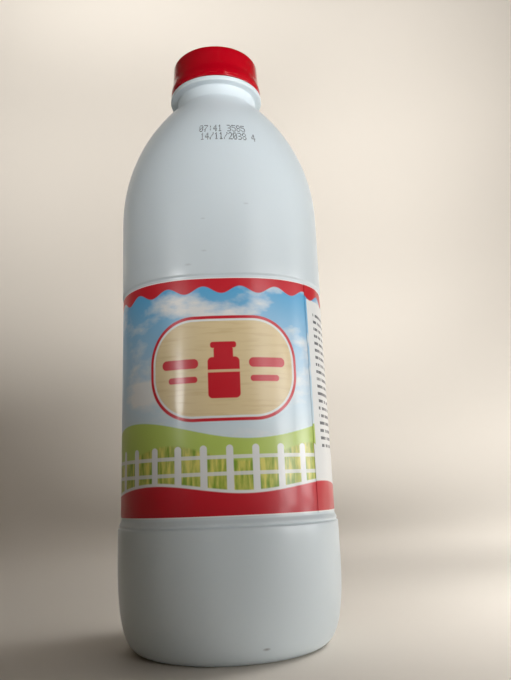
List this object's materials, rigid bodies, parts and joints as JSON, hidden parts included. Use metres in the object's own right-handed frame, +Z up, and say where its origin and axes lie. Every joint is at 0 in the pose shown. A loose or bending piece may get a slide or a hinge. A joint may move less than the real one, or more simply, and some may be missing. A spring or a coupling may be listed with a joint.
{
  "type": "milk bottle",
  "caption": "Shut one-litre white plastic milk bottle with a rounded-square body, sunk label panel, round shoulder, support ring, red screw cap and wrap-round film label.",
  "frame": {"origin": "centre of the base, on the surface that the bottle stands on", "axes": "+Z up along the bottle's axis; -Y out through the front of the label; +X to the right seen from the front"},
  "size_m": [0.083, 0.083, 0.24],
  "materials": {
    "bottle_white": "satin blow-moulded opaque white polyethylene",
    "cap_red": "glossy moulded red polyethylene",
    "label_film": "glossy printed wrap-round film in sky blue, green, beige, red and white"
  },
  "bodies": {
    "root": {"bottle": "bottle_white", "cap": "cap_red", "label": "label_film"}
  },
  "joints": []
}
